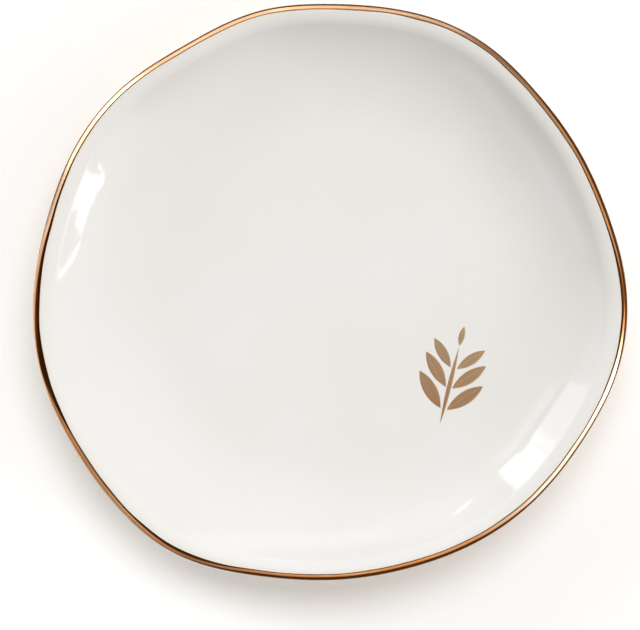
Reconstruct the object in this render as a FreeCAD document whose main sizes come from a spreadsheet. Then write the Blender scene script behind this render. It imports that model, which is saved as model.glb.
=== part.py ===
"""Ring dish: a small hand-formed ceramic dish for rings, with a wavy gilded lip.

It is built up as its makers build it. A clay body stands on a turned foot ring, a coat of white
glaze covers the body down to the foot, and the gilding goes on last: the lip, and a sprig in the well.
Lengths are in millimetres. +Z is up, and the origin is on the table, under the middle of the dish.
"""

import FreeCAD
import Part
import Sketcher
import math
import os

# Driving sizes: alias, value, and what it measures.
SIZES = (
    ("rim_width", 120.0, "width of the glazed dish where its outline is a plain circle"),
    ("rim_height", 14.0, "height of the lip's crest where its outline is a plain circle"),
    ("floor_width", 69.0, "width of the flat floor of the well"),
    ("floor_thickness", 3.4, "floor, glaze included"),
    ("lip_thickness", 2.2, "lip, glaze included, as a round edge"),
    ("lip_slope", 8.0, "rise of the wall where it meets the lip, in degrees"),
    ("roll_radius", 4.5, "outward roll of the wall below the lip, in the middle of the wall"),
    ("glaze_thickness", 0.35, "coat of glaze"),
    ("foot_width", 66.0, "width over the bare clay foot ring"),
    ("foot_land", 2.6, "thickness of the bare clay foot ring"),
    ("foot_height", 1.8, "height of the underside above the table"),
    ("foot_edge", 0.5, "rounding of the foot ring's standing edges"),
    ("foot_root", 1.2, "depth to which the foot ring is rooted in the floor's clay"),
    ("glaze_line", 0.8, "height of the wiped, bare stretch of the foot ring"),
    ("gold_thickness", 0.15, "gilding on the lip"),
    ("gold_inside", 1.85, "gilding from the lip's tip, down its inside"),
    ("gold_outside", 0.8, "gilding from the lip's tip, down its outside"),
    ("film_thickness", 0.15, "gilding of the sprig"),
    ("film_seat", 0.03, "flux between the glaze and the sprig's gilding"),
    ("sprig_height", 20.5, "sprig, from the stem's foot to the top leaf's tip"),
    ("sprig_across", 24.7, "middle of the sprig, to the right of the dish's middle"),
    ("sprig_along", -16.9, "middle of the sprig, in front of the dish's middle"),
    ("sprig_lean", -14.0, "lean of the sprig, in degrees, anticlockwise from above"),
    ("leaf_length", 8.8, "longest leaf"),
    ("leaf_width", 2.7, "longest leaf"),
    ("leaf_angle", 43.0, "leaf to stem, in degrees"),
    ("stem_width", 0.9, "stem at its middle"),
)

# The lip seen from above: its reach from the middle at even angles, anticlockwise from +X,
# as shares of half the rim's width.
RIM_REACH_SHARES = (
    0.995, 0.969, 0.960, 0.965, 0.986, 0.980, 0.970, 0.978,
    0.967, 0.986, 0.994, 0.989, 1.004, 1.018, 1.015, 1.024,
    1.027, 0.989, 0.970, 0.965, 0.974, 0.981, 0.984, 1.001,
)
# Where the soft clay was pressed outward the lip also sank, by this share of the press.
RIM_DIP_SHARE = 0.4
# The press fades from the lip to the floor as this power of the way up the wall, and so does the
# thinning of the wall from the floor to the lip.
FADE_POWER = 2

# Places up the wall, and angles round the lip in degrees, that the skin is drawn through.
WALL_SHARES = (0.0, 0.22, 0.44, 0.64, 0.78, 0.87, 0.94)
LIP_ANGLES = (-90, -45, 0, 45, 90)

# Leaves of the sprig: the share of its height where a pair starts, and the pair's length share.
LEAF_PAIR_SHARES = ((0.15, 1.0), (0.37, 0.94), (0.57, 0.78))
TOP_LEAF_SHARE = 0.80
STEM_TOP_SHARE = 0.78
# Clear space between the stem and the leaves' stalk ends, as a share of the stem's width.
STALK_GAP_SHARE = 0.75

doc = FreeCAD.newDocument("ring_dish")


# Spreadsheet

sheet = doc.addObject("Spreadsheet::Sheet", "sizes")
for row, (alias, value, meaning) in enumerate(SIZES, start=1):
    sheet.set(f"A{row}", alias)
    sheet.set(f"B{row}", str(value))
    sheet.setAlias(f"B{row}", alias)
    sheet.set(f"C{row}", meaning)
doc.recompute()


def size(alias):
    """A driving size from the sheet."""
    return float(getattr(sheet, alias))


# Cross-section of the wall

def wall_line(share):
    """Middle of the wall at a share of the way up it: reach, height and slope.

    A cove rises from the flat floor, and the wall rolls outward again below the lip. Both are arcs, and the
    cove's radius is the one that lets them meet smoothly.
    """
    floor_reach = size("floor_width") / 2
    floor_middle = size("foot_height") + size("floor_thickness") / 2
    roll = size("roll_radius")
    lip_slope = math.radians(size("lip_slope"))
    roll_reach = (size("rim_width") - size("lip_thickness")) / 2 + roll * math.sin(lip_slope)
    roll_height = size("rim_height") - size("lip_thickness") / 2 - roll * math.cos(lip_slope)
    across = roll_reach - floor_reach
    up = roll_height - floor_middle
    cove = (across**2 + up**2 - roll**2) / (2 * (roll + up))
    steepest = math.atan2(across, cove - up)
    cove_length = cove * steepest
    length = share * (cove_length + roll * (steepest - lip_slope))
    if length < cove_length:
        slope = length / cove
        return floor_reach + cove * math.sin(slope), floor_middle + cove * (1 - math.cos(slope)), slope
    slope = steepest - (length - cove_length) / roll
    return roll_reach - roll * math.sin(slope), roll_height + roll * math.cos(slope), slope


def section_point(share, turn, depth):
    """A point of the skin at a depth below the glazed surface: reach, height and share of the press.

    The turn is the angle from the way that the wall runs: -90 degrees is its underside, 90 its inside.
    """
    reach, height, slope = wall_line(share)
    fade = share**FADE_POWER
    thickness = size("floor_thickness") * (1 - fade) + size("lip_thickness") * fade
    half = thickness / 2 - depth
    angle = slope + math.radians(turn)
    return reach + half * math.cos(angle), height + half * math.sin(angle), fade


def section(depth):
    """The wall's section, from the underside round the lip to the floor of the well."""
    underside = [section_point(share, -90, depth) for share in WALL_SHARES]
    lip = [section_point(1.0, turn, depth) for turn in LIP_ANGLES]
    inside = [section_point(share, 90, depth) for share in reversed(WALL_SHARES)]
    return underside + lip + inside


def section_lengths():
    """Length along the glazed section at each of its points."""
    lengths = [0.0]
    points = section(0.0)
    for (reach, height, _), (next_reach, next_height, _) in zip(points, points[1:]):
        lengths.append(lengths[-1] + math.hypot(next_reach - reach, next_height - height))
    return lengths


def lip_length(turn):
    """Length along the glazed section at an angle of the lip."""
    return section_lengths()[len(WALL_SHARES) + LIP_ANGLES.index(turn)]


# Skin of the dish: the section carried round the dish, pressed in and out as the lip is

def pressed_ring(reach, height, press_share):
    """A ring of points round the dish, pressed like the lip by a share of the lip's own press."""
    points = []
    for number, reach_share in enumerate(RIM_REACH_SHARES):
        around = 2 * math.pi * number / len(RIM_REACH_SHARES)
        press = press_share * (reach_share - 1) * size("rim_width") / 2
        points.append(FreeCAD.Vector(
            (reach + press) * math.cos(around),
            (reach + press) * math.sin(around),
            height - RIM_DIP_SHARE * press,
        ))
    return points


def closed_curve(points):
    """A smooth closed curve through a ring of points."""
    turns = [2 * math.pi * number / len(points) for number in range(len(points) + 1)]
    curve = Part.BSplineCurve()
    curve.interpolate(Points=points, PeriodicFlag=True, Parameters=turns)
    return curve


def skin(depth):
    """The whole skin at a depth below the glazed surface, level where it meets the flat floor."""
    rings = [closed_curve(pressed_ring(*point)) for point in section(depth)]
    lengths = section_lengths()
    ribs = []
    for column in zip(*(ring.getPoles() for ring in rings)):
        outward = FreeCAD.Vector(column[0].x, column[0].y, 0)
        rib = Part.BSplineCurve()
        rib.interpolate(
            Points=list(column), Parameters=lengths, InitialTangent=outward, FinalTangent=-outward
        )
        ribs.append(rib)
    surface = Part.BSplineSurface()
    surface.buildFromPolesMultsKnots(
        [rib.getPoles() for rib in ribs],
        rings[0].getMultiplicities(), ribs[0].getMultiplicities(),
        rings[0].getKnots(), ribs[0].getKnots(),
        True, False, rings[0].Degree, ribs[0].Degree,
    )
    return surface


def skin_faces(depth, breaks):
    """The skin from each of some lengths along the section to the next."""
    faces = []
    for start, end in zip(breaks, breaks[1:]):
        surface = skin(depth)
        surface.segment(0, 2 * math.pi, start, end)
        faces.append(surface.toShape())
    return faces


def end_ring(face, last):
    """The closed edge at a skin face's first or last length along the section."""
    low, high = face.ParameterRange[2:]
    seam = face.valueAt(0, high if last else low)
    rings = [edge for edge in face.Edges if edge.isClosed()]
    return min(rings, key=lambda edge: edge.Vertexes[0].Point.distanceToPoint(seam))


def floor_disc(ring):
    """The flat disc inside a level ring."""
    return Part.Face(Part.Wire([ring]))


def closed_solid(faces):
    """One solid from faces that meet edge to edge."""
    shell = Part.Shell(faces)
    shell.sewShape()
    solid = Part.Solid(shell)
    return solid if solid.Volume > 0 else solid.reversed()


def dish_solid(depth):
    """Everything inside the skin at a depth below the glazed surface."""
    faces = skin_faces(depth, [0.0, lip_length(-90), lip_length(0), lip_length(90), section_lengths()[-1]])
    floors = [floor_disc(end_ring(faces[0], False)), floor_disc(end_ring(faces[-1], True))]
    return closed_solid(faces + floors)


def gilding_solid(thickness):
    """Gilding on the round lip, over its tip from outside to inside."""
    tip = lip_length(0)
    breaks = [tip - size("gold_outside"), tip, tip + size("gold_inside")]
    under = skin_faces(0.0, breaks)
    over = skin_faces(-thickness, breaks)
    outside_hem = Part.makeRuledSurface(end_ring(under[0], False), end_ring(over[0], False))
    inside_hem = Part.makeRuledSurface(end_ring(under[-1], True), end_ring(over[-1], True))
    return closed_solid(under + over + [outside_hem, inside_hem])


def well_film_solid(seat, thickness):
    """A film on its seat all over the well, from the lip's rounding to the flat floor."""
    breaks = [lip_length(90), section_lengths()[-1]]
    [under] = skin_faces(-seat, breaks)
    [over] = skin_faces(-seat - thickness, breaks)
    hem = Part.makeRuledSurface(end_ring(under, False), end_ring(over, False))
    floors = [floor_disc(end_ring(face, True)) for face in (under, over)]
    return closed_solid([under, over, hem] + floors)


def shaped(name, shape):
    """A document object that holds a free-form shape."""
    feature = doc.addObject("Part::Feature", name)
    feature.Shape = shape
    return feature


def joined(kind, name, base, tool):
    """A Part boolean of two objects."""
    result = doc.addObject(kind, name)
    result.Base = base
    result.Tool = tool
    return result


# Sketches and turned bodies

def origin_plane(body, role):
    """A body's own origin plane or axis."""
    return next(item for item in body.Origin.OriginFeatures if item.Role == role)


def new_sketch(body, name, plane):
    """A sketch on one of its body's origin planes."""
    sketch = body.newObject("Sketcher::SketchObject", name)
    sketch.AttachmentSupport = [(origin_plane(body, plane), "")]
    sketch.MapMode = "FlatFace"
    return sketch


def pin_point(sketch, geometry, end, across, along):
    """Holds an end of a sketch line or arc at spreadsheet expressions."""
    for kind, expression in (("DistanceX", across), ("DistanceY", along)):
        value = float(sketch.evalExpression(expression))
        constraint = sketch.addConstraint(Sketcher.Constraint(kind, -1, 1, geometry, end, value))
        sketch.setExpression(f"Constraints[{constraint}]", expression)


def straight_outline(sketch, corners):
    """Draws a closed outline whose corners stand at spreadsheet expressions."""
    points = [FreeCAD.Vector(*(float(sketch.evalExpression(text)) for text in corner), 0) for corner in corners]
    count = len(points)
    for number, point in enumerate(points):
        sketch.addGeometry(Part.LineSegment(point, points[(number + 1) % count]))
    for number in range(count):
        sketch.addConstraint(Sketcher.Constraint("Coincident", number, 2, (number + 1) % count, 1))
    for number, (across, along) in enumerate(corners):
        pin_point(sketch, number, 1, across, along)


def turned_body(name, corners):
    """A body turned about +Z from a straight outline of reach and height.

    The outline stands on the YZ plane, so that the turned seam is clear of the skin's seam at +X.
    """
    body = doc.addObject("PartDesign::Body", name)
    sketch = new_sketch(body, f"{name}_outline", "YZ_Plane")
    straight_outline(sketch, corners)
    turning = body.newObject("PartDesign::Revolution", f"{name}_turning")
    turning.Profile = sketch
    turning.ReferenceAxis = (sketch, ["V_Axis"])
    doc.recompute()
    return body


FOOT_OUTSIDE = "sizes.foot_width / 2"
FOOT_INSIDE = f"{FOOT_OUTSIDE} - sizes.foot_land"
# The ring's root climbs with the wall above it where the ring stands outside the flat floor.
WALL_RUN = "(sizes.rim_width - sizes.lip_thickness - sizes.floor_width)"
WALL_RISE = "(sizes.rim_height - sizes.foot_height - (sizes.lip_thickness + sizes.floor_thickness) / 2)"
FOOT_CLIMB = f"{WALL_RISE} * max(0; (sizes.foot_width - sizes.floor_width) / {WALL_RUN})^2"
FOOT_TOP = f"sizes.foot_height + sizes.foot_root + {FOOT_CLIMB}"


def make_foot_ring():
    """The turned clay foot ring, rooted in the floor, with its two standing edges rounded."""
    body = turned_body("foot_ring", (
        (FOOT_INSIDE, "0"), (FOOT_OUTSIDE, "0"), (FOOT_OUTSIDE, FOOT_TOP), (FOOT_INSIDE, FOOT_TOP),
    ))
    turning = body.Tip
    standing = [
        f"Edge{number}" for number, edge in enumerate(turning.Shape.Edges, start=1)
        if edge.BoundBox.ZMax < size("foot_edge") and edge.isClosed()
    ]
    rounding = body.newObject("PartDesign::Fillet", "foot_ring_rounding")
    rounding.Base = (turning, standing)
    rounding.setExpression("Radius", "sizes.foot_edge")
    doc.recompute()
    return body


def make_foot_sleeve():
    """Glaze on both walls of the foot ring, above the wiped stretch, with the ring itself still in it."""
    outside = f"{FOOT_OUTSIDE} + sizes.glaze_thickness"
    inside = f"{FOOT_INSIDE} - sizes.glaze_thickness"
    return turned_body("foot_sleeve", (
        (inside, "sizes.glaze_line"), (outside, "sizes.glaze_line"), (outside, FOOT_TOP), (inside, FOOT_TOP),
    ))


def make_recess_zone():
    """The space inside the foot ring, out to the middle of the ring and up to its root."""
    zone = doc.addObject("Part::Cylinder", "recess_zone")
    zone.setExpression("Radius", f"{FOOT_OUTSIDE} - sizes.foot_land / 2")
    zone.setExpression("Height", FOOT_TOP)
    return zone


# Sprig

def draw_leaf(sketch, foot, tip, length, width):
    """Draws a pointed leaf of two arcs, from its foot to its tip, all in spreadsheet expressions."""
    radius = f"(({length})^2 + ({width})^2) / (4 * ({width}))"
    ends = [FreeCAD.Vector(*(float(sketch.evalExpression(text)) for text in point), 0) for point in (foot, tip)]
    half_width = float(sketch.evalExpression(f"({width}) / 2"))
    along = (ends[1] - ends[0]).normalize()
    sideways = FreeCAD.Vector(-along.y, along.x, 0) * half_width
    middle = (ends[0] + ends[1]) / 2
    first = sketch.addGeometry(Part.Arc(ends[0], middle - sideways, ends[1]))
    second = sketch.addGeometry(Part.Arc(ends[0], middle + sideways, ends[1]))
    # The solver counts an arc's ends anticlockwise, so the left-hand arc starts at the tip.
    sketch.addConstraint(Sketcher.Constraint("Coincident", first, 1, second, 2))
    sketch.addConstraint(Sketcher.Constraint("Coincident", first, 2, second, 1))
    pin_point(sketch, first, 1, *foot)
    pin_point(sketch, first, 2, *tip)
    for arc in (first, second):
        value = float(sketch.evalExpression(radius))
        constraint = sketch.addConstraint(Sketcher.Constraint("Radius", arc, value))
        sketch.setExpression(f"Constraints[{constraint}]", radius)


def make_sprig_blank():
    """The sprig's outline as a tall block: a stem, pairs of leaves and a top leaf."""
    body = doc.addObject("PartDesign::Body", "sprig_blank")
    body.AllowCompound = True
    sketch = new_sketch(body, "sprig_outline", "XY_Plane")
    base = "-sizes.sprig_height / 2"

    def up(share):
        return f"{base} + sizes.sprig_height * {share}"

    stem_length = f"sizes.sprig_height * {STEM_TOP_SHARE}"
    draw_leaf(sketch, ("0", base), ("0", up(STEM_TOP_SHARE)), stem_length, "sizes.stem_width")
    for height_share, length_share in LEAF_PAIR_SHARES:
        length = f"sizes.leaf_length * {length_share}"
        width = f"sizes.leaf_width * {length_share}"
        for side in ("", "-"):
            stalk = f"{side}sizes.stem_width * {STALK_GAP_SHARE}"
            tip_across = f"{stalk} + ({side}1) * {length} * sin(sizes.leaf_angle * 1 deg)"
            tip_along = f"{up(height_share)} + {length} * cos(sizes.leaf_angle * 1 deg)"
            draw_leaf(sketch, (stalk, up(height_share)), (tip_across, tip_along), length, width)
    top_length = f"sizes.sprig_height * {1 - TOP_LEAF_SHARE:.2f}"
    top_width = f"{top_length} * sizes.leaf_width / sizes.leaf_length"
    draw_leaf(sketch, ("0", up(TOP_LEAF_SHARE)), ("0", up(1)), top_length, top_width)

    block = body.newObject("PartDesign::Pad", "sprig_block")
    block.Profile = sketch
    block.setExpression("Length", "sizes.rim_height")
    body.setExpression("Placement.Base.x", "sizes.sprig_across")
    body.setExpression("Placement.Base.y", "sizes.sprig_along")
    body.setExpression("Placement.Rotation.Angle", "sizes.sprig_lean")
    doc.recompute()
    return body


# Assembly

clay_blank = shaped("clay_blank", dish_solid(size("glaze_thickness")))
glaze_blank = shaped("glaze_blank", dish_solid(0.0))
clay_body = joined("Part::Fuse", "clay_body", clay_blank, make_foot_ring())

# The wiped foot parts the glaze in two: the coat all over the dish, and the patch in the foot's recess.
glazed_dish = joined("Part::Fuse", "glazed_dish", glaze_blank, make_foot_sleeve())
glaze = joined("Part::Cut", "glaze", glazed_dish, clay_body)
recess_zone = make_recess_zone()
glaze_coat = joined("Part::Cut", "glaze_coat", glaze, recess_zone)
recess_glaze = joined("Part::Common", "recess_glaze", glaze, recess_zone)

gold_rim = shaped("gold_rim", gilding_solid(size("gold_thickness")))
well_film = shaped("well_film", well_film_solid(size("film_seat"), size("film_thickness")))
gold_sprig = joined("Part::Common", "gold_sprig", well_film, make_sprig_blank())
doc.recompute()

SUB_PARTS = (clay_body, glaze_coat, recess_glaze, gold_rim, gold_sprig)


# Checks and files

for item in doc.Objects:
    if "Invalid" in item.State or "Error" in item.State:
        raise RuntimeError(f"{item.Label} failed: {item.State}")
for item in SUB_PARTS:
    if item.Shape.isNull() or not item.Shape.isValid():
        raise RuntimeError(f"{item.Label} has no valid shape")

os.makedirs("parts", exist_ok=True)
for item in SUB_PARTS:
    item.Shape.exportStep(os.path.join("parts", f"{item.Label}.step"))
    print(f"{item.Label}: {len(item.Shape.Solids)} solids, {item.Shape.Volume:.2f} mm3")
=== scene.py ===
"""Ring dish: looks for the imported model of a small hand-formed dish with a gilded lip.

The sections follow the dish as it is made: clay, glaze, gilding, and then the table and light it stands in.
Lengths are in metres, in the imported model's frame: +Z is up, and the origin is on the table, under the
middle of the dish.
"""

import math

import bmesh
import bpy
import numpy as np
from mathutils import Matrix, Vector, noise
from mathutils.bvhtree import BVHTree


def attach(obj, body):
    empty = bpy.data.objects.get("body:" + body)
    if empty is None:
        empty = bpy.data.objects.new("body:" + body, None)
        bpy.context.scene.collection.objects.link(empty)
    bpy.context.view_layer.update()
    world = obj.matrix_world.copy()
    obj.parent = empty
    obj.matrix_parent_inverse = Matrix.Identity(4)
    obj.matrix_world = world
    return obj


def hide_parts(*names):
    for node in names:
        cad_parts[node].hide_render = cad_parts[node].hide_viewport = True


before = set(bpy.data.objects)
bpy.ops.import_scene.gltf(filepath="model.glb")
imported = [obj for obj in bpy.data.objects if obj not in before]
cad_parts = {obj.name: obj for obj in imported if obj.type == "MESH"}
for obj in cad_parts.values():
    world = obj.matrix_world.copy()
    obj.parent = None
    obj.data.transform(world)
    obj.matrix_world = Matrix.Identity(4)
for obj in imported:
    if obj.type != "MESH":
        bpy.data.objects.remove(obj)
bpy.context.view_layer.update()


# Clay body
# The dish itself: white clay pressed over a mould, with a foot ring turned on its underside, fired hard.
# The coats hide it, apart from the wiped bottom of the foot ring, where the bare clay shows its grain.

clay_pale = (0.74, 0.68, 0.59, 1.0)
clay_buff = (0.64, 0.56, 0.46, 1.0)
clay_speck = (0.30, 0.22, 0.15, 1.0)
clay_patch_size = 0.009
clay_grain_size = 0.00032
clay_grain_depth = 0.00006
clay_grain_strength = 0.8
clay_speck_span = (0.66, 0.74)
clay_speck_share = 0.7
clay_roughness = (0.78, 0.94)

# Firing leaves broad patches and a fine grain on clay, glaze and gold alike, as values from 0 to 1.
# Nearly all of them lie in the first span, and most of them in the second.
patch_detail = 2.0
grain_detail = 3.0
mark_span = (0.3, 0.7)
mark_core = (0.35, 0.65)


def place(tree, kind, inputs=None, **settings):
    """Places a shader node. Its inputs take plain values or the outputs of other nodes."""
    node = tree.nodes.new(kind)
    for key, value in settings.items():
        setattr(node, key, value)
    for key, value in (inputs or {}).items():
        if isinstance(value, bpy.types.NodeSocket):
            tree.links.new(value, node.inputs[key])
        else:
            node.inputs[key].default_value = value
    return node


def blended(tree, share, first, second):
    """The colour between two others, at a share that changes over the surface."""
    mix = place(tree, "ShaderNodeMix", {0: share, 6: first, 7: second}, data_type="RGBA")
    return mix.outputs[2]


def ranged(tree, value, span, to=(0.0, 1.0)):
    """A value carried from one span to another, and held at the ends."""
    ends = {"From Min": span[0], "From Max": span[1], "To Min": to[0], "To Max": to[1]}
    return place(tree, "ShaderNodeMapRange", {"Value": value, **ends}).outputs["Result"]


def worked(tree, operation, *values):
    """The result of one step of arithmetic on values that change over the surface."""
    return place(tree, "ShaderNodeMath", dict(enumerate(values)), operation=operation).outputs[0]


def marked(tree, name):
    """The value that a piece keeps for each of its points under a name."""
    return place(tree, "ShaderNodeAttribute", attribute_name=name).outputs["Fac"]


def make_firing_marks():
    """Uneven firing: broad soft patches and a fine grain, each about 0 to 1 with its middle at 0.5."""
    group = bpy.data.node_groups.new("firing_marks", "ShaderNodeTree")
    for name in ("Patch Size", "Grain Size"):
        group.interface.new_socket(name, in_out="INPUT", socket_type="NodeSocketFloat")
    for name in ("Patches", "Grain"):
        group.interface.new_socket(name, in_out="OUTPUT", socket_type="NodeSocketFloat")
    given = group.nodes.new("NodeGroupInput")
    result = group.nodes.new("NodeGroupOutput")
    where = group.nodes.new("ShaderNodeTexCoord").outputs["Object"]
    marks = (("Patch Size", "Patches", patch_detail), ("Grain Size", "Grain", grain_detail))
    for size_name, output_name, detail in marks:
        scale = worked(group, "DIVIDE", 1.0, given.outputs[size_name])
        texture = place(group, "ShaderNodeTexNoise", {"Vector": where, "Scale": scale, "Detail": detail})
        group.links.new(texture.outputs["Fac"], result.inputs[output_name])
    return group


firing_marks = make_firing_marks()


def marks_on(tree, patch_size, grain_size):
    """Places the firing marks in a finish, with their two sizes."""
    marks = tree.nodes.new("ShaderNodeGroup")
    marks.node_tree = firing_marks
    marks.inputs["Patch Size"].default_value = patch_size
    marks.inputs["Grain Size"].default_value = grain_size
    return marks.outputs["Patches"], marks.outputs["Grain"]


def new_finish(name):
    """A finish with its node tree and its surface shader."""
    finish = bpy.data.materials.new(name)
    finish.use_nodes = True
    tree = finish.node_tree
    return finish, tree, tree.nodes["Principled BSDF"]


def roughen(tree, shader, height, depth, strength=1.0):
    """Gives a shader the fine relief of a height that changes over the surface."""
    bump = place(tree, "ShaderNodeBump", {"Height": height, "Distance": depth, "Strength": strength})
    tree.links.new(bump.outputs["Normal"], shader.inputs["Normal"])


def make_bare_clay():
    """Bare fired clay: buff patches, dark iron specks and a dry grain."""
    finish, tree, shader = new_finish("bare_clay")
    patches, grain = marks_on(tree, clay_patch_size, clay_grain_size)
    ground = blended(tree, ranged(tree, patches, mark_core), clay_pale, clay_buff)
    specks = ranged(tree, grain, clay_speck_span, (0.0, clay_speck_share))
    tree.links.new(blended(tree, specks, ground, clay_speck), shader.inputs["Base Color"])
    tree.links.new(ranged(tree, grain, mark_span, clay_roughness), shader.inputs["Roughness"])
    roughen(tree, shader, grain, clay_grain_depth, clay_grain_strength)
    return finish


clay_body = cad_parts["clay_body"]
bare_clay = make_bare_clay()
for clay_slot in clay_body.material_slots:
    clay_slot.material = bare_clay


# Glaze coat
# White glaze, poured over the dish and fired glossy, from the wiped line on the foot ring round the lip
# and down into the well. It swells and sinks a little over the hand-pressed clay, which breaks its shine.

rim_width = 0.120
rim_height = 0.0140
floor_width = 0.069
floor_thickness = 0.0034
lip_thickness = 0.0022
lip_slope = math.radians(8)
roll_radius = 0.0045
roll_ease = 0.028
ease_steps = (-1, -0.5, 0, 0.5, 1)
ease_weights = (1, 2, 2, 2, 1)
wall_steps = 65
glaze_thickness = 0.00035
foot_width = 0.066
foot_land = 0.0026
foot_height = 0.0018
glaze_line = 0.0008
glaze_hem = 0.00025
foot_fillet = 0.0005

# Reach of the lip at even angles, anticlockwise from +X, as shares of half the rim's width.
rim_reach_shares = (
    0.995, 0.969, 0.960, 0.965, 0.986, 0.980, 0.970, 0.978,
    0.967, 0.986, 0.994, 0.989, 1.004, 1.018, 1.015, 1.024,
    1.027, 0.989, 0.970, 0.965, 0.974, 0.981, 0.984, 1.001,
)
rim_dip_share = 0.4
lip_bevel_turn = 49.0
lip_bevel_reach = 41.0
lip_bevel_share = 0.112

swell_size = 0.021
swell_depth = 0.00008
ripple_size = 0.0055
ripple_depth = 0.000014

glaze_white = (0.815, 0.807, 0.792, 1.0)
glaze_cream = (0.800, 0.789, 0.768, 1.0)
glaze_thin = (0.76, 0.73, 0.68, 1.0)
glaze_patch_size = 0.030
glaze_peel_size = 0.0016
glaze_peel_depth = 0.000008
glaze_roughness = (0.04, 0.07)

# Shares of the lip's press, which grows up the wall: from the first one up the glaze runs thin, and between
# the other two it goes from glossy to dull.
thin_from = 0.93
dry_from = 0.79
dry_full = 0.86
thin_share = 0.8
glaze_dullness = 0.55

# Rings of the coat's mesh: on its face, from the hem over the lip to the floor, and on its back.
hem_rings = 5
fillet_rings = 5
outside_rings = 42
lip_rings = 21
inside_rings = 74
floor_rings = 22
back_floor_rings = 6
back_inside_rings = 14
back_lip_rings = 9
back_outside_rings = 12
around_count = 480
around = np.linspace(0.0, 2 * math.pi, around_count, endpoint=False)


def lip_press(angles):
    """How far the lip was pressed outward: a smooth closed line through the lip's reaches."""
    count = len(rim_reach_shares)
    press = (np.array(rim_reach_shares) - 1) * rim_width / 2
    beside = np.roll(np.eye(count), 1, axis=0) + np.roll(np.eye(count), -1, axis=0)
    bend = np.linalg.solve(4 * np.eye(count) + beside, 6 * (beside @ press - 2 * press))
    step = angles * count / (2 * math.pi)
    low = np.floor(step).astype(int) % count
    high = (low + 1) % count
    after = step - np.floor(step)
    before = 1 - after
    straight = before * press[low] + after * press[high]
    return straight + ((before**3 - before) * bend[low] + (after**3 - after) * bend[high]) / 6


def pressed_line(share):
    """Middle of the wall as the mould gives it, at a share of the way up: reach, height and slope.

    A cove rises from the flat floor, and the wall rolls outward again below the lip, in two arcs that meet.
    """
    floor_reach = floor_width / 2
    floor_middle = foot_height + floor_thickness / 2
    roll_reach = (rim_width - lip_thickness) / 2 + roll_radius * math.sin(lip_slope)
    roll_height = rim_height - lip_thickness / 2 - roll_radius * math.cos(lip_slope)
    across = roll_reach - floor_reach
    up = roll_height - floor_middle
    cove = (across**2 + up**2 - roll_radius**2) / (2 * (roll_radius + up))
    steepest = math.atan2(across, cove - up)
    cove_length = cove * steepest
    length = share * (cove_length + roll_radius * (steepest - lip_slope))
    if length < cove_length:
        slope = length / cove
        return floor_reach + cove * math.sin(slope), floor_middle + cove * (1 - math.cos(slope)), slope
    slope = steepest - (length - cove_length) / roll_radius
    return roll_reach - roll_radius * math.sin(slope), roll_height + roll_radius * math.cos(slope), slope


def wall_line(share):
    """Middle of the wall after a wet thumb eased the meeting of its arcs: reach, height and slope."""
    spread = [pressed_line(share + step * roll_ease) for step in ease_steps]
    return tuple(np.average(spread, axis=0, weights=ease_weights))


def wall_arc():
    """Length of the wall's middle line, from the floor to the lip."""
    points = [wall_line(share)[:2] for share in np.linspace(0.0, 1.0, wall_steps)]
    return sum(math.dist(first, second) for first, second in zip(points, points[1:]))


wall_length = wall_arc()


def wall_ring(share, turn, depth=0.0):
    """A ring of the wall: reach, height, share of the lip's press, and the angle that its face looks along.

    The share runs up the wall from 0 at the floor to 1 at the lip. The turn, in degrees, is from the way
    that the wall runs: -90 is its underside and 90 its inside. The depth is below the glazed face.
    The lip was sponged before firing, which left a soft bevel between its tip and its inside.
    """
    reach, height, slope = wall_line(share)
    fade = share**2
    half = (floor_thickness * (1 - fade) + lip_thickness * fade) / 2 - depth
    angle = slope + math.radians(turn)
    from_bevel = min(1.0, abs(turn - lip_bevel_turn) / lip_bevel_reach)
    half *= 1 - lip_bevel_share * math.cos(from_bevel * math.pi / 2) ** 2
    return reach + half * math.cos(angle), height + half * math.sin(angle), fade, angle


def floor_ring(reach, height):
    """A level ring of the well's floor or of the underside of a coat."""
    return reach, height, 0.0, math.pi / 2


def swell(points):
    """Height of the glaze's soft swells and ripples at each of some points."""
    heights = []
    for x, y, z in points:
        spot = Vector((x, y, z))
        soft = swell_depth * noise.noise(spot / swell_size)
        fine = ripple_depth * noise.noise(spot / ripple_size)
        heights.append(soft + fine)
    return np.array(heights)


def ring_points(ring, swollen=True):
    """The points of a ring round the dish, pressed as the lip is, and on its face swollen as the glaze is."""
    reach, height, press_share, angle = ring
    press = press_share * lip_press(around)
    level = height - rim_dip_share * press
    base = np.column_stack(((reach + press) * np.cos(around), (reach + press) * np.sin(around), level))
    rise = swell(base) if swollen else 0.0
    outward = reach + press + rise * math.cos(angle)
    upward = level + rise * math.sin(angle)
    return np.column_stack((outward * np.cos(around), outward * np.sin(around), upward))


def pole(height):
    """The point of a coat on the dish's axis."""
    return np.array([[0.0, 0.0, height]])


def add_loops(mesh, loops, closed):
    """Joins loops of points one to the next with faces, and with a fan where one of them is a point."""
    rows = [[mesh.verts.new(point) for point in loop] for loop in loops]
    pairs = list(zip(rows, rows[1:]))
    if closed:
        pairs.append((rows[-1], rows[0]))
    for first, second in pairs:
        count = max(len(first), len(second))
        for number in range(count if len(first) + len(second) > 2 else 0):
            following = (number + 1) % count
            corners = []
            for row, step in ((first, number), (first, following), (second, following), (second, number)):
                corner = row[step % len(row)]
                if corner not in corners:
                    corners.append(corner)
            mesh.faces.new(corners)


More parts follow.
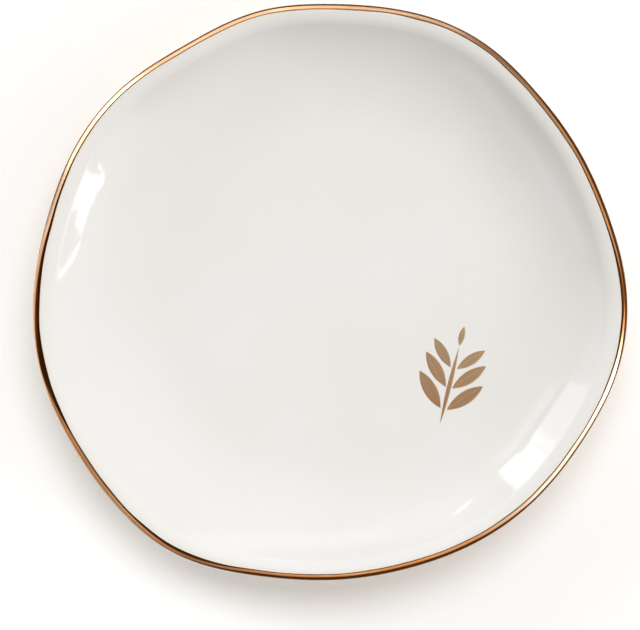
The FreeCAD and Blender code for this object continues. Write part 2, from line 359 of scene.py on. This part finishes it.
def new_piece(name, shells, finish):
    """A smooth piece of shells: each is a list of loops of points, and whether its ends meet."""
    builder = bmesh.new()
    for loops, closed in shells:
        add_loops(builder, loops, closed)
    bmesh.ops.recalc_face_normals(builder, faces=builder.faces)
    mesh = bpy.data.meshes.new(name)
    builder.to_mesh(mesh)
    builder.free()
    mesh.shade_smooth()
    mesh.materials.append(finish)
    piece = bpy.data.objects.new(name, mesh)
    bpy.context.scene.collection.objects.link(piece)
    return piece


def mark_points(piece, name, loops):
    """Keeps a value for each point of a piece's loops, for its finish to read."""
    attribute = piece.data.attributes.new(name, "FLOAT", "POINT")
    attribute.data.foreach_set("value", np.concatenate(loops).astype(np.float32))


def quarter_turn(middle, radius, start, count):
    """Points and facing angles of a quarter circle in the section, anticlockwise from a start angle."""
    for angle in np.radians(np.linspace(start, start + 90, count)):
        yield middle[0] + radius * math.cos(angle), middle[1] + radius * math.sin(angle), angle


def make_white_glaze():
    """Glossy white glaze: creamy patches, a thinner warm tone at its edges, and a faint peel."""
    finish, tree, shader = new_finish("white_glaze")
    patches, peel = marks_on(tree, glaze_patch_size, glaze_peel_size)
    ground = blended(tree, ranged(tree, patches, mark_core), glaze_white, glaze_cream)
    tree.links.new(blended(tree, marked(tree, "thin"), ground, glaze_thin), shader.inputs["Base Color"])
    shine = ranged(tree, patches, mark_span, glaze_roughness)
    dull = worked(tree, "MULTIPLY_ADD", marked(tree, "dry"), glaze_dullness, shine)
    tree.links.new(dull, shader.inputs["Roughness"])
    roughen(tree, shader, peel, glaze_peel_depth)
    return finish


white_glaze = make_white_glaze()


def make_glaze_coat():
    """The coat: its glazed face, from the wiped line to the middle of the well, and its back on the clay."""
    outside = foot_width / 2 + glaze_thickness
    face = [(foot_width / 2, glaze_line, 0.0, -math.pi / 2)]
    hem = quarter_turn((outside - glaze_hem, glaze_line + glaze_hem), glaze_hem, -90, hem_rings)
    face += [(reach, height, 0.0, angle) for reach, height, angle in hem]
    fillet_middle = (outside + foot_fillet, foot_height - foot_fillet)
    fillet = list(quarter_turn(fillet_middle, foot_fillet, 90, fillet_rings))
    face += [(reach, height, 0.0, angle - math.pi) for reach, height, angle in reversed(fillet)]
    face += [wall_ring(share, -90) for share in np.linspace(0.0, 1.0, outside_rings)]
    face += [wall_ring(1.0, turn) for turn in np.linspace(-90, 90, lip_rings)[1:-1]]
    face += [wall_ring(share, 90) for share in np.linspace(1.0, 0.0, inside_rings)]
    face_floor = foot_height + floor_thickness
    floor_reaches = np.linspace(floor_width / 2, 0.0, floor_rings)[1:-1]
    face += [floor_ring(reach, face_floor) for reach in floor_reaches]

    back_floor = face_floor - glaze_thickness
    back_reaches = np.linspace(0.0, floor_width / 2, back_floor_rings)[1:-1]
    back = [floor_ring(reach, back_floor) for reach in back_reaches]
    back += [wall_ring(share, 90, glaze_thickness) for share in np.linspace(0.0, 1.0, back_inside_rings)]
    back += [wall_ring(1.0, turn, glaze_thickness) for turn in np.linspace(90, -90, back_lip_rings)[1:-1]]
    back += [wall_ring(share, -90, glaze_thickness) for share in np.linspace(1.0, 0.0, back_outside_rings)]
    back.append((foot_width / 2, foot_height + glaze_thickness, 0.0, math.pi))

    loops = [ring_points(ring, swollen=number > hem_rings) for number, ring in enumerate(face)]
    loops += [pole(face_floor), pole(back_floor)]
    loops += [ring_points(ring, swollen=False) for ring in back]
    coat = new_piece("glaze_skin", [(loops, True)], white_glaze)

    def thinness(ring):
        _, height, press_share, _ = ring
        on_lip = max(0.0, (press_share - thin_from) / (1 - thin_from))
        on_hem = max(0.0, 1 - (height - glaze_line) / (2 * glaze_hem))
        return np.full(around_count, min(1.0, thin_share * on_lip + on_hem))

    def dryness(ring):
        onset = min(1.0, max(0.0, (ring[2] - dry_from) / (dry_full - dry_from)))
        return np.full(around_count, onset * onset * (3 - 2 * onset))

    hidden = [np.zeros(2)] + [np.zeros(around_count) for ring in back]
    mark_points(coat, "thin", [thinness(ring) for ring in face] + hidden)
    mark_points(coat, "dry", [dryness(ring) for ring in face] + hidden)
    return coat


glaze_skin = make_glaze_coat()
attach(glaze_skin, "root")
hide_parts("glaze_coat")


# Recess glaze
# The same glaze inside the foot ring, parted from the coat when the foot was wiped before firing.
# It pools in the corner between the foot ring and the floor's underside.

recess_fillet = 0.0009
recess_rings = 30
recess_corner_rings = 7
recess_back_rings = 10


def make_recess_glaze():
    """The patch of glaze: its glazed face, its wiped hem on the foot ring, and its back on the clay."""
    clay_reach = foot_width / 2 - foot_land
    inside = clay_reach - glaze_thickness
    back_height = foot_height + glaze_thickness

    level = inside - recess_fillet
    face = [(reach, foot_height, 0.0, -math.pi / 2) for reach in np.linspace(0.0, level, recess_rings)[1:]]
    corner_middle = (level, foot_height - recess_fillet)
    corner = list(quarter_turn(corner_middle, recess_fillet, 0, recess_corner_rings))
    face += [(reach, height, 0.0, angle + math.pi) for reach, height, angle in reversed(corner)][1:]
    hem = quarter_turn((inside + glaze_hem, glaze_line + glaze_hem), glaze_hem, 180, hem_rings)
    face += [(reach, height, 0.0, angle) for reach, height, angle in hem][1:]
    back = [(clay_reach, glaze_line, 0.0, 0.0), (clay_reach, back_height, 0.0, 0.0)]
    back_reaches = np.linspace(clay_reach, 0.0, recess_back_rings)[1:-1]
    back += [floor_ring(reach, back_height) for reach in back_reaches]

    loops = [pole(foot_height)]
    loops += [ring_points(ring) for ring in face]
    loops += [ring_points(ring, swollen=False) for ring in back]
    loops += [pole(back_height)]
    patch = new_piece("recess_glaze_skin", [(loops, False)], white_glaze)

    def thinness(ring):
        return np.full(around_count, max(0.0, 1 - (ring[1] - glaze_line) / (2 * glaze_hem)))

    thin = [thinness(ring) for ring in face] + [np.zeros(around_count) for ring in back]
    mark_points(patch, "thin", [np.zeros(1)] + thin + [np.zeros(1)])
    return patch


recess_glaze_skin = make_recess_glaze()
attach(recess_glaze_skin, "root")
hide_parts("recess_glaze")


# Gilded lip
# Bright gold, brushed over the fired glaze along the lip and fired again at a low heat.
# The brush left wavering hems and streaks along the lip. Where the gold ran thin it fired brown, and more
# brown is painted where the lip would mirror a dark room, as a painted dark reflection; pale stretches are a
# painted shine.

gold_thickness = 0.00011
gold_sunk = 0.00002
gold_inside = 0.00170
gold_outside = 0.00085
gold_hem_width = 0.00022
hem_waver = 0.00013
hem_waver_size = 0.007
inside_hem_seed = 11.0
outside_hem_seed = 3.0
band_over_rings = 33
band_under_rings = 9

# The brush's path at even angles, anticlockwise from +X: its width on the inside, as a share of the plain
# one, how much of the band's width is brown, inside and outside, from thin gold and painted dark reflection,
# and how much painted shine it has. Below 0 the brush ran dry, and the band is browner across its width,
# partly as painted dark reflection.
brush_width_shares = (
    1.02, 1.00, 1.00, 0.98, 1.00, 0.98, 0.96, 0.94, 0.92, 0.94, 0.96, 1.00,
    1.04, 1.06, 1.00, 0.98, 1.02, 0.96, 0.98, 1.00, 1.04, 1.00, 0.96, 0.98,
)
thin_and_painted_dark_inside_shares = (
    0.40, 0.12, 0.10, 0.10, 0.12, 0.08, 0.02, 0.03, 0.05, 0.08, 0.14, 0.26,
    0.52, 0.75, 0.08, 0.15, 0.40, 0.08, 0.06, 0.06, 0.07, 0.12, 0.10, 0.13,
)
thin_and_painted_dark_outside_shares = (
    0.60, 0.56, 0.56, 0.44, 0.32, 0.36, 0.42, 0.42, 0.40, 0.38, 0.36, 0.26,
    0.10, 0.12, 0.14, 0.20, 0.28, 0.58, 0.62, 0.60, 0.54, 0.42, 0.40, 0.40,
)
painted_shine_and_dark_shares = (
    -0.50, -0.35, -0.35, -0.10, 0.22, 0.30, 0.22, 0.25, 0.28, 0.12, 0.18, 0.35,
    0.05, -0.30, -0.18, -0.20, -0.22, -0.10, -0.10, -0.10, -0.05, 0.75, 0.65, 0.60,
)
brown_edge_softness = 0.08

gold_painted_shine = (1.0, 0.87, 0.70, 1.0)
gold_bright = (0.95, 0.51, 0.25, 1.0)
gold_deep = (0.86, 0.34, 0.11, 1.0)
gold_brown_and_painted_dark = (0.13, 0.038, 0.007, 1.0)
gold_roughness = (0.24, 0.13)
gold_load_span = (0.75, 1.25)
brown_span = (0.55, 1.15)
streak_share = 0.7
streak_scale = (22.0, 22.0, 6000.0)
gold_pit_size = 0.0005
gold_patch_size = 0.012
gold_relief = 0.000014
gold_relief_strength = 0.5


def make_lip_gold():
    """Bright brushed gold: streaks, pits, brown for thin gold and painted dark reflection, and a painted pale
    shine.
    """
    finish, tree, shader = new_finish("lip_gold")
    patches, pits = marks_on(tree, gold_patch_size, gold_pit_size)
    along = place(tree, "ShaderNodeAttribute", attribute_name="brush").outputs["Vector"]
    stretched = place(tree, "ShaderNodeMapping", {"Vector": along, "Scale": streak_scale}).outputs[0]
    texture = {"Vector": stretched, "Scale": 1.0, "Detail": grain_detail}
    streaks = place(tree, "ShaderNodeTexNoise", texture).outputs["Fac"]
    load = worked(tree, "ADD", streaks, patches)
    gold = blended(tree, ranged(tree, load, gold_load_span), gold_deep, gold_bright)
    # A painted shine: the pale gold that the "full" mark mixes in.
    gold = blended(tree, marked(tree, "full"), gold, gold_painted_shine)
    # The "bare" mark browns the gold, for thin gold and for painted dark reflection.
    streaky = worked(tree, "MULTIPLY_ADD", streaks, streak_share, marked(tree, "bare"))
    brown = ranged(tree, streaky, brown_span)
    tree.links.new(blended(tree, brown, gold, gold_brown_and_painted_dark), shader.inputs["Base Color"])
    tree.links.new(ranged(tree, load, gold_load_span, gold_roughness), shader.inputs["Roughness"])
    shader.inputs["Metallic"].default_value = 1.0
    relief = worked(tree, "ADD", streaks, pits)
    roughen(tree, shader, relief, gold_relief, gold_relief_strength)
    return finish


lip_gold = make_lip_gold()
lip_presses = lip_press(around)


def hem_wave(seed):
    """How far a hem wavers from its line, round the dish."""
    reach = rim_width / 2 / hem_waver_size
    spots = [Vector((reach * math.cos(angle), reach * math.sin(angle), seed)) for angle in around]
    wave = [noise.noise(spot) for spot in spots]
    return hem_waver * np.array(wave)


def brushed(shares):
    """A share along the brush's path, round the dish."""
    angles = np.linspace(0.0, 2 * math.pi, len(shares) + 1)
    return np.interp(around, angles, shares + shares[:1])


def lip_point(length, number, lift):
    """A point on the swollen glaze, a length inward from the lip's tip, at one of the angles round it."""
    half = lip_thickness / 2
    beyond = abs(length) - half * math.pi / 2
    if beyond < 0:
        reach, height, press_share, angle = wall_ring(1.0, math.degrees(length / half))
    else:
        reach, height, press_share, angle = wall_ring(1 - beyond / wall_length, math.copysign(90, length))
    press = press_share * lip_presses[number]
    across = math.cos(around[number])
    along = math.sin(around[number])
    level = height - rim_dip_share * press
    base = ((reach + press) * across, (reach + press) * along, level)
    rise = lift + swell([base])[0]
    outward = reach + press + rise * math.cos(angle)
    return outward * across, outward * along, level + rise * math.sin(angle)


def make_gilded_lip():
    """A band of gold over the lip, feathered to nothing at its hems, and closed underneath in the glaze."""
    outside = -gold_outside + hem_wave(outside_hem_seed)
    inside = gold_inside * brushed(brush_width_shares) + hem_wave(inside_hem_seed)
    thin_and_painted_dark_inside = brushed(thin_and_painted_dark_inside_shares)
    thin_and_painted_dark_outside = brushed(thin_and_painted_dark_outside_shares)
    painted_shine_and_dark_along = brushed(painted_shine_and_dark_shares)
    over_shares = (1 - np.cos(np.linspace(0, math.pi, band_over_rings))) / 2
    under_shares = np.linspace(1.0, 0.0, band_under_rings)[1:-1]

    def band_loop(share, sunk):
        length = outside + (inside - outside) * share
        from_hem = np.minimum(length - outside, inside - length)
        fullness = np.clip(from_hem / gold_hem_width, 0.0, 1.0)
        lift = -gold_sunk + (0.0 if sunk else gold_thickness) * np.sqrt(1 - (1 - fullness) ** 2)
        loop = [lip_point(length[number], number, lift[number]) for number in range(around_count)]
        # Seen from above, the band's width runs from the tip to the inner hem.
        width_share = np.clip(length / inside, 0.0, 1.0)
        # Brown edges, inside and outside: thin gold, and painted dark reflection.
        thin = np.maximum(thin_and_painted_dark_outside - width_share, width_share - 1 + thin_and_painted_dark_inside) / brown_edge_softness
        return loop, np.clip(np.maximum(0.5 + thin, -painted_shine_and_dark_along), 0.0, 1.0), length

    made = [band_loop(share, False) for share in over_shares]
    made += [band_loop(share, True) for share in under_shares]
    band = new_piece("gilded_lip", [([loop for loop, _, _ in made], True)], lip_gold)
    # The "bare" mark carries thin gold and painted dark reflection, and the "full" mark a painted shine.
    mark_points(band, "bare", [bare_and_painted_dark for _, bare_and_painted_dark, _ in made])
    mark_points(band, "full", [np.clip(painted_shine_and_dark_along, 0.0, 1.0)] * len(made))
    brush = band.data.attributes.new("brush", "FLOAT_VECTOR", "POINT")
    places = [np.column_stack((np.cos(around), np.sin(around), length)) for _, _, length in made]
    brush.data.foreach_set("vector", np.concatenate(places).astype(np.float32).ravel())
    return band


gilded_lip = make_gilded_lip()
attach(gilded_lip, "root")
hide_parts("gold_rim")


# Gilded sprig
# A stem, three pairs of leaves and a top leaf in satin gold, laid on the glaze at the right of the well
# and fired with the lip. A fine vein is left open along the middle of each leaf.

sprig_height = 0.0205
sprig_across = 0.0247
sprig_along = -0.0169
sprig_lean = math.radians(-14)
leaf_length = 0.0088
leaf_width = 0.0027
leaf_angle = math.radians(43)
stem_width = 0.0009
leaf_pair_shares = ((0.15, 1.0), (0.37, 0.94), (0.57, 0.78))
top_leaf_share = 0.80
stem_top_share = 0.78
stalk_gap_share = 0.75
film_thickness = 0.00008
film_sunk = 0.00002
film_hem_share = 0.12
vein_depth_share = 0.6
vein_half_share = 0.05
vein_span = (0.05, 0.9)

# Points of a leaf's mesh: rows along it, and their places across it, as shares of its half width.
leaf_rows = 33
leaf_across_shares = (-1.0, -0.96, -0.88, -0.6, -0.25, -0.10, 0.0, 0.10, 0.25, 0.6, 0.88, 0.96, 1.0)

sprig_tan = (0.80, 0.58, 0.37, 1.0)
sprig_copper = (0.68, 0.37, 0.19, 1.0)
sprig_patch_size = 0.006
sprig_grain_size = 0.00025
sprig_mottle = 0.3
sprig_tone_span = (0.15, 1.15)
sprig_roughness = (0.34, 0.46)
sprig_metal_share = 0.9
sprig_relief = 0.000006
sprig_relief_strength = 0.6


def make_sprig_gold():
    """Satin gold: tan at the tips and copper at the foot, faintly mottled and grained."""
    finish, tree, shader = new_finish("sprig_gold")
    patches, grain = marks_on(tree, sprig_patch_size, sprig_grain_size)
    mottled = worked(tree, "MULTIPLY_ADD", patches, sprig_mottle, marked(tree, "upward"))
    tone = ranged(tree, mottled, sprig_tone_span)
    tree.links.new(blended(tree, tone, sprig_copper, sprig_tan), shader.inputs["Base Color"])
    tree.links.new(ranged(tree, grain, mark_span, sprig_roughness), shader.inputs["Roughness"])
    shader.inputs["Metallic"].default_value = sprig_metal_share
    roughen(tree, shader, grain, sprig_relief, sprig_relief_strength)
    return finish


sprig_gold = make_sprig_gold()


def sprig_leaves():
    """Each leaf in the sprig's own plane, the stem first: foot, direction from the stem, length, width."""
    foot = -sprig_height / 2
    yield (0.0, foot), 0.0, sprig_height * stem_top_share, stem_width
    for height_share, length_share in leaf_pair_shares:
        for side in (1, -1):
            stalk = (side * stem_width * stalk_gap_share, foot + sprig_height * height_share)
            yield stalk, side * leaf_angle, leaf_length * length_share, leaf_width * length_share
    top_foot = (0.0, foot + sprig_height * top_leaf_share)
    top_length = sprig_height * (1 - top_leaf_share)
    yield top_foot, 0.0, top_length, top_length * leaf_width / leaf_length


def make_gilded_sprig():
    """The leaves as thin closed films that follow the glaze under them."""
    glaze = bmesh.new()
    glaze.from_mesh(glaze_skin.data)
    glazed_face = BVHTree.FromBMesh(glaze)
    glaze.free()
    steps = (1 - np.cos(np.linspace(0, math.pi, leaf_rows))) / 2

    def on_glaze(across, along, lift):
        x = sprig_across + across * math.cos(sprig_lean) - along * math.sin(sprig_lean)
        y = sprig_along + across * math.sin(sprig_lean) + along * math.cos(sprig_lean)
        seat = glazed_face.ray_cast(Vector((x, y, rim_width)), Vector((0, 0, -1)))[0]
        return x, y, seat.z + lift

    shells = []
    upward = []
    for foot, direction, length, width in sprig_leaves():
        radius = (length**2 + width**2) / (4 * width)
        veined = width > stem_width
        loops = []
        for step in steps:
            forward = length * step
            half = math.sqrt(radius**2 - (forward - length / 2) ** 2) - radius + width / 2
            middle = (foot[0] + forward * math.sin(direction), foot[1] + forward * math.cos(direction))
            if step in (steps[0], steps[-1]):
                loops.append([on_glaze(*middle, 0.0)])
                upward.append([middle[1] / sprig_height + 0.5])
                continue
            loop = []
            for under in (False, True):
                for share in leaf_across_shares if not under else leaf_across_shares[-2:0:-1]:
                    fullness = min(1.0, (1 - abs(share)) / film_hem_share)
                    thickness = film_thickness * math.sqrt(1 - (1 - fullness) ** 2)
                    if veined and abs(share) < vein_half_share and vein_span[0] < step < vein_span[1]:
                        thickness *= 1 - vein_depth_share
                    sideways = half * share
                    point_across = middle[0] + sideways * math.cos(direction)
                    point_along = middle[1] - sideways * math.sin(direction)
                    lift = -film_sunk if under else thickness
                    loop.append(on_glaze(point_across, point_along, lift))
            loops.append(loop)
            upward.append([middle[1] / sprig_height + 0.5] * len(loop))
        shells.append((loops, False))
    sprig = new_piece("gilded_sprig", shells, sprig_gold)
    mark_points(sprig, "upward", upward)
    return sprig


gilded_sprig = make_gilded_sprig()
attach(gilded_sprig, "root")
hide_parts("gold_sprig")


# Table top
# A plain white sheet that the dish stands on, lit to white where the dish doesn't shade it. Close by, a warm
# light from the gilding is painted into its colour. It is open under the foot ring, so that the foot and the
# recess have light when they are looked at from below.

table_half = 4.0
table_white = (0.93, 0.93, 0.93, 1.0)
table_painted_warm_light = (0.93, 0.890, 0.850, 1.0)
painted_warm_light_reach = 0.069
table_glow = 0.075
table_roughness = (0.88, 0.96)
table_patch_size = 0.3
table_grain_size = 0.004
opening_step = 5


def make_table_white():
    """White paint that shows its shade, painted warm light near the dish, a little glow for the camera,
    nothing seen from below.
    """
    finish, tree, shader = new_finish("table_white")
    grain = marks_on(tree, table_patch_size, table_grain_size)[1]
    tree.links.new(ranged(tree, grain, (0.0, 1.0), table_roughness), shader.inputs["Roughness"])
    where = tree.nodes.new("ShaderNodeTexCoord").outputs["Object"]
    from_axis = place(tree, "ShaderNodeVectorMath", {0: where}, operation="LENGTH").outputs["Value"]
    # Painted warm light: close round the dish the sheet's colour turns warm, as if the gilding lit it.
    painted_warm_light_share = ranged(tree, from_axis, (rim_width / 2, painted_warm_light_reach), (1.0, 0.0))
    tree.links.new(blended(tree, painted_warm_light_share, table_white, table_painted_warm_light), shader.inputs["Base Color"])
    path = tree.nodes.new("ShaderNodeLightPath").outputs
    seen = worked(tree, "MAXIMUM", path["Is Camera Ray"], path["Is Glossy Ray"])
    glow = place(tree, "ShaderNodeEmission", {"Strength": worked(tree, "MULTIPLY", seen, table_glow)})
    lit = place(tree, "ShaderNodeAddShader", {0: shader.outputs[0], 1: glow.outputs[0]})
    clear = tree.nodes.new("ShaderNodeBsdfTransparent")
    below = tree.nodes.new("ShaderNodeNewGeometry").outputs["Backfacing"]
    surface = place(tree, "ShaderNodeMixShader", {0: below, 1: lit.outputs[0], 2: clear.outputs[0]})
    tree.links.new(surface.outputs[0], tree.nodes["Material Output"].inputs["Surface"])
    return finish


def make_table_top():
    """The sheet: a square with a round opening, in a ring of flat faces."""
    ways = [(math.cos(angle), math.sin(angle)) for angle in np.radians(np.arange(0, 360, opening_step))]
    rim = [(foot_width / 2 * x, foot_width / 2 * y, 0.0) for x, y in ways]
    spread = [table_half / max(abs(x), abs(y)) for x, y in ways]
    edge = [(far * x, far * y, 0.0) for far, (x, y) in zip(spread, ways)]
    count = len(ways)
    faces = []
    for number in range(count):
        following = (number + 1) % count
        faces.append((number, count + number, count + following, following))
    mesh = bpy.data.meshes.new("table_top")
    mesh.from_pydata(rim + edge, [], faces)
    mesh.materials.append(make_table_white())
    sheet = bpy.data.objects.new("table_top", mesh)
    bpy.context.scene.collection.objects.link(sheet)
    return sheet


table_top = make_table_top()


# Daylight
# A big soft lamp hangs high at the back, and the room glows low on the right and at the back left.
# Low windows inside the two glows draw the crisp highlights on the wall of the well. Pale cards beside
# them, seen in mirrors alone, draw out the shine along the gilding.

room_light = 0.10
room_below = 0.6
horizon_span = (-0.06, 0.0)
glows = (
    dict(azimuth=50, elevation=54, sharpness=5.0, colour=(0.33, 0.33, 0.32)),
    dict(azimuth=284, elevation=45, sharpness=6.0, colour=(0.80, 0.73, 0.65)),
    dict(azimuth=262, elevation=18, sharpness=5.0, colour=(0.09, 0.087, 0.084)),
    dict(azimuth=115, elevation=24, sharpness=11.0, colour=(1.22, 1.20, 1.16)),
    dict(azimuth=-22, elevation=24, sharpness=12.5, colour=(1.37, 1.37, 1.37)),
    dict(azimuth=15, elevation=24, sharpness=13.0, colour=(0.66, 0.66, 0.66)),
)
lamp = dict(name="soft_lamp", azimuth=81, elevation=64, width=46, height=32, radiance=3.45)
windows = (
    dict(name="right_window", azimuth=-21.9, elevation=19.5, width=2.8, height=21, lean=6, radiance=5.6),
    dict(name="right_middle", azimuth=-19.2, elevation=18.5, width=2.9, height=19, radiance=5.6),
    dict(name="right_pane", azimuth=-17.0, elevation=17.5, width=1.8, height=17, lean=-3, radiance=5.6),
    dict(name="right_tail", azimuth=-15.4, elevation=22, width=1.3, height=8, lean=-5, radiance=5.6),
    dict(name="right_slit", azimuth=-11, elevation=22, width=1.8, height=11, lean=19, radiance=4.5),
    dict(name="right_edge", azimuth=-25.5, elevation=24.5, width=0.8, height=8, lean=-8, radiance=5.4),
    dict(name="left_window", azimuth=134.2, elevation=19, width=6, height=27, radiance=5.6),
    dict(name="left_pane", azimuth=139.8, elevation=17.5, width=4.8, height=24, radiance=5.6),
    dict(name="far_window", azimuth=144, elevation=18.5, width=2.4, height=26, radiance=5.2),
    dict(name="far_pane", azimuth=149.7, elevation=18.5, width=8.2, height=24, radiance=2.7),
    dict(name="top_pane", azimuth=142.5, elevation=40, width=17, height=8, radiance=1.2),
    dict(name="left_slit", azimuth=118.9, elevation=23, width=1.3, height=7.5, lean=-34, radiance=4.0),
)
cards = (
    dict(name="right_card", azimuth=-39, elevation=22, width=14, height=14, radiance=0.4),
    dict(name="left_card", azimuth=160, elevation=23, width=13, height=16, radiance=0.7),
    dict(name="side_card", azimuth=177, elevation=14, width=24, height=28, radiance=0.6),
    dict(name="back_card", azimuth=82, elevation=24, width=38, height=14, radiance=0.75),
    dict(name="front_card", azimuth=219, elevation=24, width=42, height=14, radiance=0.5),
)
light_distance = 5.0
bounce_width = 0.110
bounce_radiance = 0.28
bounce_lift = 0.0002


def direction(azimuth, elevation):
    """The way to a light: azimuth anticlockwise from +X, elevation above the table, in degrees."""
    turn = math.radians(azimuth)
    rise = math.radians(elevation)
    level = math.cos(rise)
    return Vector((math.cos(turn) * level, math.sin(turn) * level, math.sin(rise)))


def make_room():
    """The room all round: white where the camera sees it, and soft glows for everything else."""
    room = bpy.data.worlds.new("room")
    room.use_nodes = True
    tree = room.node_tree
    way = tree.nodes.new("ShaderNodeTexCoord").outputs["Generated"]

    def glow_share(towards, sharpness):
        facing = place(tree, "ShaderNodeVectorMath", {0: way, 1: towards}, operation="DOT_PRODUCT")
        ahead = worked(tree, "MAXIMUM", facing.outputs["Value"], 0.0)
        return worked(tree, "POWER", ahead, sharpness)

    total = (room_light, room_light, room_light)
    for glow in glows:
        share = glow_share(direction(glow["azimuth"], glow["elevation"]), glow["sharpness"])
        scaled = {0: glow["colour"], "Scale": share}
        part = place(tree, "ShaderNodeVectorMath", scaled, operation="SCALE").outputs[0]
        total = place(tree, "ShaderNodeVectorMath", {0: total, 1: part}, operation="ADD").outputs[0]
    height = place(tree, "ShaderNodeSeparateXYZ", {0: way}).outputs["Z"]
    below = ranged(tree, height, horizon_span, (1.0, 0.0))
    lit = tree.nodes["Background"]
    under = (room_below, room_below, room_below, 1)
    tree.links.new(blended(tree, below, total, under), lit.inputs["Color"])
    path = tree.nodes.new("ShaderNodeLightPath").outputs
    mirrored = worked(tree, "MULTIPLY", path["Is Glossy Ray"], below)
    through = worked(tree, "MAXIMUM", mirrored, path["Is Transmission Ray"])
    shown = worked(tree, "MAXIMUM", through, path["Is Camera Ray"])
    seen = place(tree, "ShaderNodeBackground", {"Color": (1, 1, 1, 1)})
    surface = place(tree, "ShaderNodeMixShader", {0: shown, 1: lit.outputs[0], 2: seen.outputs[0]})
    tree.links.new(surface.outputs[0], tree.nodes["World Output"].inputs["Surface"])
    bpy.context.scene.world = room


def hang_light(name, azimuth, elevation, width, height, radiance, lean=0):
    """A plain rectangle of light that faces the dish. Its sizes and lean are angles there, in degrees."""
    wide = 2 * light_distance * math.tan(math.radians(width / 2))
    tall = 2 * light_distance * math.tan(math.radians(height / 2))
    light = bpy.data.lights.new(name, "AREA")
    light.shape = "RECTANGLE"
    light.size = wide
    light.size_y = tall
    light.energy = radiance * math.pi * wide * tall
    way = direction(azimuth, elevation)
    hung = bpy.data.objects.new(name, light)
    hung.location = way * light_distance
    hung.rotation_mode = "QUATERNION"
    sideways = Vector((-way.y, way.x, 0)).normalized()
    sideways.rotate(Matrix.Rotation(math.radians(lean), 3, way))
    hung.rotation_quaternion = Matrix((sideways, way.cross(sideways), way)).transposed().to_quaternion()
    hung.visible_camera = False
    bpy.context.scene.collection.objects.link(hung)
    return hung


def lay_bounce():
    """The light that the sheet throws up under the dish: a flat lamp on it that faces up."""
    light = bpy.data.lights.new("sheet_bounce", "AREA")
    light.shape = "DISK"
    light.size = bounce_width
    light.energy = bounce_radiance * math.pi**2 * bounce_width**2 / 4
    laid = bpy.data.objects.new("sheet_bounce", light)
    laid.location = (0, 0, bounce_lift)
    laid.rotation_euler = (math.pi, 0, 0)
    laid.visible_camera = False
    laid.visible_glossy = False
    bpy.context.scene.collection.objects.link(laid)


make_room()
lay_bounce()
soft_lamp = hang_light(**lamp)
soft_lamp.data.shape = "ELLIPSE"
soft_lamp.visible_glossy = False
for window in windows:
    hang_light(**window)
for card in cards:
    hang_light(**card).visible_diffuse = False


# Camera
# Straight above the dish, with the photograph's framing, and far enough away to look down on the whole lip
# with little perspective.

view_width = 0.12944
view_middle = (-0.00234, -0.00465)
camera_distance = 0.75
sensor_width = 36.0

camera_data = bpy.data.cameras.new("camera")
camera_data.sensor_width = sensor_width
camera_data.lens = sensor_width * camera_distance / view_width
camera = bpy.data.objects.new("camera", camera_data)
camera.location = (*view_middle, rim_height + camera_distance)
bpy.context.scene.collection.objects.link(camera)
bpy.context.scene.camera = camera
bpy.context.scene.view_settings.view_transform = "Standard"


# The scene is brought up to date at the end.

bpy.context.view_layer.update()
